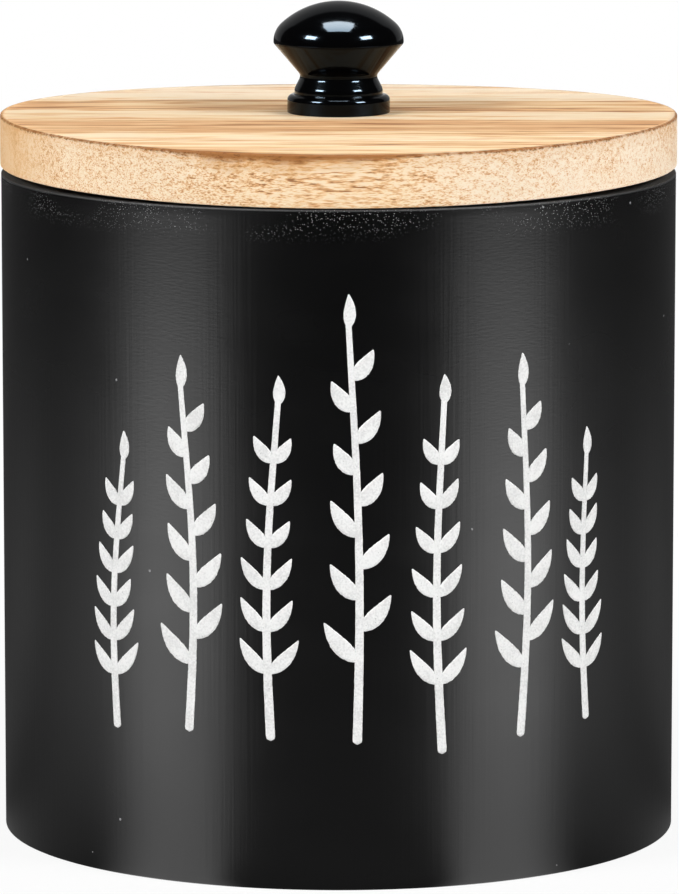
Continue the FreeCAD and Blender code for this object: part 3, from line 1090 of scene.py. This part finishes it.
def build_sprigs(settings):
    """White sprigs, painted freehand and each one piece."""
    sprigs, wall = settings.sprigs, settings.wall
    paint = white_paint(settings.colours)
    for place in range(sprigs.count):
        rng = np.random.default_rng(40 + place)
        points, faces, count = [], [], 0
        for number, (path, width, film) in enumerate(sprig_strokes(sprigs, place, rng)):
            seed = 100 * place + 2 * number
            rows = brush_stroke(path, np.maximum(width, FINEST), film, wall.radius, seed)
            rows[0], rows[-1] = rows[0].mean(axis=0), rows[-1].mean(axis=0)
            faces += grid_faces(grid_indices(len(rows), STROKE_POINTS, [0, -1], False, count))
            points.append(rows.reshape(-1, 3))
            count += len(points[-1])
        name = "painted_sprig_" + str(place + 1)
        piece = add_piece(name, np.concatenate(points), faces, paint)
        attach(piece, "canister")


def finish_screw(settings):
    """The screw and its washer keep their shape and get a zinc finish."""
    zinc = zinc_plate(settings.colours)
    for node in ("knob_screw", "screw_washer"):
        for material_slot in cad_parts[node].material_slots:
            material_slot.material = zinc


# Stage -------------------------------------------------------------------------

def add_camera(stage):
    """A long lens in front of the canister, a little above it."""
    data = bpy.data.cameras.new("front_camera")
    data.lens = stage.lens
    data.sensor_width = 36.0
    data.clip_start = 0.05
    data.clip_end = 50.0
    camera = add_object("front_camera", data)
    camera.location = (stage.camera_side, -stage.camera_distance, stage.camera_height)
    camera.rotation_euler = (math.radians(90) - stage.camera_tilt, 0, 0)
    bpy.context.scene.camera = camera


def add_softbox(name, place, aim, width, height, level, glare):
    """A rectangular lamp facing a point, with a cloth that only gloss sees.

    The lamp's power is level * area * pi. The cloth lies just in front of it
    and brings its brightness in reflections up to the glare.
    """
    data = bpy.data.lights.new(name, "AREA")
    data.shape = "RECTANGLE"
    data.size = width
    data.size_y = height
    data.energy = level * width * height * math.pi
    lamp = add_object(name, data)
    turn = (Vector(aim) - Vector(place)).to_track_quat("-Z", "Y")
    lamp.location = place
    lamp.rotation_mode = "QUATERNION"
    lamp.rotation_quaternion = turn

    corners = [(x * width / 2, y * height / 2) for x, y in ((-1, -1), (1, -1), (1, 1), (-1, 1))]
    points = [Vector(place) + turn @ Vector((x, y, -CLOTH_GAP)) for x, y in corners]
    finish = Finish(name + "_cloth")
    finish.cover(finish.glow(WHITE, glare - level))
    cloth = add_mesh(name + "_cloth", points, [(0, 1, 2, 3)], finish.material)
    cloth.visible_camera = False
    cloth.visible_diffuse = False
    cloth.visible_transmission = False
    cloth.visible_shadow = False


def add_floor(stage):
    """A pale disc that runs out into white and keeps the object's shadow.

    What looks at it straight sees mostly white. Gloss sees a table that
    glows for it alone: painted light that no lamp casts, which gives the
    wall its highlight bands.
    """
    radii = np.array(FLOOR_RINGS)
    outline = np.stack([radii, np.full_like(radii, -FLOOR_DROP)], axis=1)
    points = turned_grid(outline, FLOOR_COLUMNS).reshape(-1, 3)
    faces = grid_faces(grid_indices(len(radii), FLOOR_COLUMNS, [0], False))
    table = Finish(
        "pale_floor", Roughness=0.9, Specular_IOR_Level=0.0,
        Base_Color=(*stage.floor_colour, 1.0))
    x, y, _ = table.axes()
    away = (x * x + y * y).root()
    white_share = 0.88 + table.step(away, 110.0, 400.0) * 0.12
    straight = table.ray("Camera").most(table.ray("Transmission"))
    lit = Value(table, table.shader.outputs[0])
    seen = table.mix_shader(straight * white_share, lit, table.glow(WHITE, 1.0))
    gloss = table.glow(table_in_gloss(table, stage, x, y, away) / BRIGHTEST, BRIGHTEST)
    table.cover(table.mix_shader(table.ray("Glossy"), seen, gloss))
    add_mesh("floor", points, faces, table.material)


def table_in_gloss(table, stage, x, y, away):
    """Brightness of the table's glow that gloss sees, painted light on a floor that is no lamp.

    It is dim, a little brighter close in front, with a broad pale patch at
    each side and white right behind. A bright streak runs out from the wall
    towards each side lamp. A point of the wall turned by t sees what lies
    t * (2 * distance + 0.88 * radius) aside of the streak's line, so dividing
    by that keeps the streak as wide on the wall all the way.
    """
    sine, cosine = math.sin(stage.side_azimuth), math.cos(stage.side_azimuth)
    start = WALL_HIGH.x / MM
    from_x = x.size() - start * math.sin(stage.side_azimuth / 2)
    from_y = y + start * math.cos(stage.side_azimuth / 2)
    along = (from_x * sine - from_y * cosine).most(0.0)
    aside = (from_x * cosine + from_y * sine) / (along * 2.0 + 0.88 * start)
    wider = table.fall(along, 100.0, 800.0) * 0.03
    streak = table.step(aside + wider, -0.20, -0.06) * table.fall(aside, 0.05, 0.28)
    streak = streak * table.fall(along, 300.0, 1300.0)
    streak = streak * (2.72 + table.step(along, 40.0, 480.0) * 3.6)

    behind = y / away
    side = table.step(behind, -0.45, 0.05) * 0.05
    near = table.fall(away, 150.0, 600.0) * table.fall(behind, -0.4, 0.3) * 0.20
    patch = table.step(behind, -0.75, -0.45) * table.fall(behind, -0.5, 0.35) * 1.8
    patch = patch + table.step(behind, -0.5, 0.0) * table.fall(behind, 0.4, 0.9) * 0.375
    patch = patch * table.step(away, 60.0, 450.0) * table.fall(away, 250.0, 1000.0)
    return 0.02 + side + near + patch + white_behind(table, behind) * 0.7 + streak


def white_behind(nodes, behind):
    """1 in the directions of the white backdrop, from a direction's y."""
    return nodes.step(behind, 0.990, 0.998)


def light_world(stage):
    """White where the camera looks, and a dim even light for everything else.

    Gloss sees the white backdrop behind the object too, a grey room round it
    and a dark one in front.
    """
    world = bpy.data.worlds.new("studio")
    bpy.context.scene.world = world
    world.use_nodes = True
    room = Nodes(world.node_tree)
    _, y, _ = room.split(room.node("TexCoord", output="Generated"))
    camera = room.ray("Camera")
    gloss = room.ray("Glossy").most(room.ray("Transmission"))
    reflected = 0.03 + room.step(y, 0.55, 0.63) * 0.34 + white_behind(room, y) * 0.75
    level = gloss * reflected + (1.0 - gloss) * stage.room_level
    background = world.node_tree.nodes["Background"]
    room.feed(background.inputs["Color"], camera + (1.0 - camera) * level)


def build_stage(settings):
    """Camera, three softboxes, floor and world."""
    stage = settings.stage
    add_camera(stage)
    knob_z = (KNOB_LOW.z + KNOB_HIGH.z) / 2
    for hand, name in ((-1, "left_softbox"), (1, "right_softbox")):
        x = hand * stage.side_distance * math.sin(stage.side_azimuth)
        y = -stage.side_distance * math.cos(stage.side_azimuth)
        add_softbox(
            name, (x, y, stage.side_height), (0, 0, knob_z), stage.side_width,
            stage.side_tall, stage.side_level, stage.side_glare)
    y = -stage.top_forward
    add_softbox(
        "top_softbox", (0, y, stage.top_height), (0, y, 0), stage.top_width,
        stage.top_depth, stage.top_level, stage.top_glare)
    add_floor(stage)
    light_world(stage)
    bpy.context.scene.view_settings.view_transform = "Standard"


# Operators and panel -------------------------------------------------------------

class CanisterStep:
    """What the canister's operators share: build one thing from the settings."""
    bl_options = {"REGISTER", "UNDO"}

    def execute(self, context):
        type(self).build(context.scene.canister)
        return {"FINISHED"}


class CANISTER_OT_wall(CanisterStep, bpy.types.Operator):
    """Build the turned wall, painted outside and bare inside"""
    bl_idname = "canister.wall"
    bl_label = "Canister Wall"
    build = staticmethod(build_wall)


class CANISTER_OT_bottom_panel(CanisterStep, bpy.types.Operator):
    """Build the panel that closes the foot"""
    bl_idname = "canister.bottom_panel"
    bl_label = "Bottom Panel"
    build = staticmethod(build_bottom_panel)


class CANISTER_OT_sprigs(CanisterStep, bpy.types.Operator):
    """Paint the white sprigs round the front of the wall"""
    bl_idname = "canister.sprigs"
    bl_label = "Painted Sprigs"
    build = staticmethod(build_sprigs)


class CANISTER_OT_lid(CanisterStep, bpy.types.Operator):
    """Build the cupped lid board with its plug"""
    bl_idname = "canister.lid"
    bl_label = "Lid Board"
    build = staticmethod(build_lid)


class CANISTER_OT_knob(CanisterStep, bpy.types.Operator):
    """Build the turned knob"""
    bl_idname = "canister.knob"
    bl_label = "Knob"
    build = staticmethod(build_knob)


class CANISTER_OT_screw(CanisterStep, bpy.types.Operator):
    """Give the screw and washer their zinc finish"""
    bl_idname = "canister.screw"
    bl_label = "Screw and Washer"
    build = staticmethod(finish_screw)


class CANISTER_OT_stage(CanisterStep, bpy.types.Operator):
    """Set up the camera, the lamps and the floor"""
    bl_idname = "canister.stage"
    bl_label = "Studio"
    build = staticmethod(build_stage)


STEPS = (
    CANISTER_OT_wall,
    CANISTER_OT_bottom_panel,
    CANISTER_OT_sprigs,
    CANISTER_OT_lid,
    CANISTER_OT_knob,
    CANISTER_OT_screw,
    CANISTER_OT_stage,
)


class CANISTER_PT_sidebar(bpy.types.Panel):
    """The canister's steps and settings"""
    bl_idname = "CANISTER_PT_sidebar"
    bl_label = "Kitchen Canister"
    bl_space_type = "VIEW_3D"
    bl_region_type = "UI"
    bl_category = "Canister"

    def draw(self, context):
        layout = self.layout
        for step in STEPS:
            layout.operator(step.bl_idname)
        settings = context.scene.canister
        for group in ("wall", "lid", "knob", "sprigs", "colours", "stage"):
            box = layout.box()
            box.label(text=group.capitalize())
            for name in getattr(settings, group).__annotations__:
                box.prop(getattr(settings, group), name)


CLASSES = (
    CanisterWallSizes,
    LidSizes,
    KnobSizes,
    SprigSizes,
    FinishColours,
    StageSettings,
    CanisterSettings,
    *STEPS,
    CANISTER_PT_sidebar,
)


def register():
    for cls in CLASSES:
        bpy.utils.register_class(cls)
    bpy.types.Scene.canister = PointerProperty(type=CanisterSettings)


def unregister():
    del bpy.types.Scene.canister
    for cls in reversed(CLASSES):
        bpy.utils.unregister_class(cls)


def main():
    """Build everything."""
    register()
    for operator in (
        bpy.ops.canister.wall,
        bpy.ops.canister.bottom_panel,
        bpy.ops.canister.sprigs,
        bpy.ops.canister.lid,
        bpy.ops.canister.knob,
        bpy.ops.canister.screw,
        bpy.ops.canister.stage,
    ):
        operator()


if __name__ == "__main__":
    main()
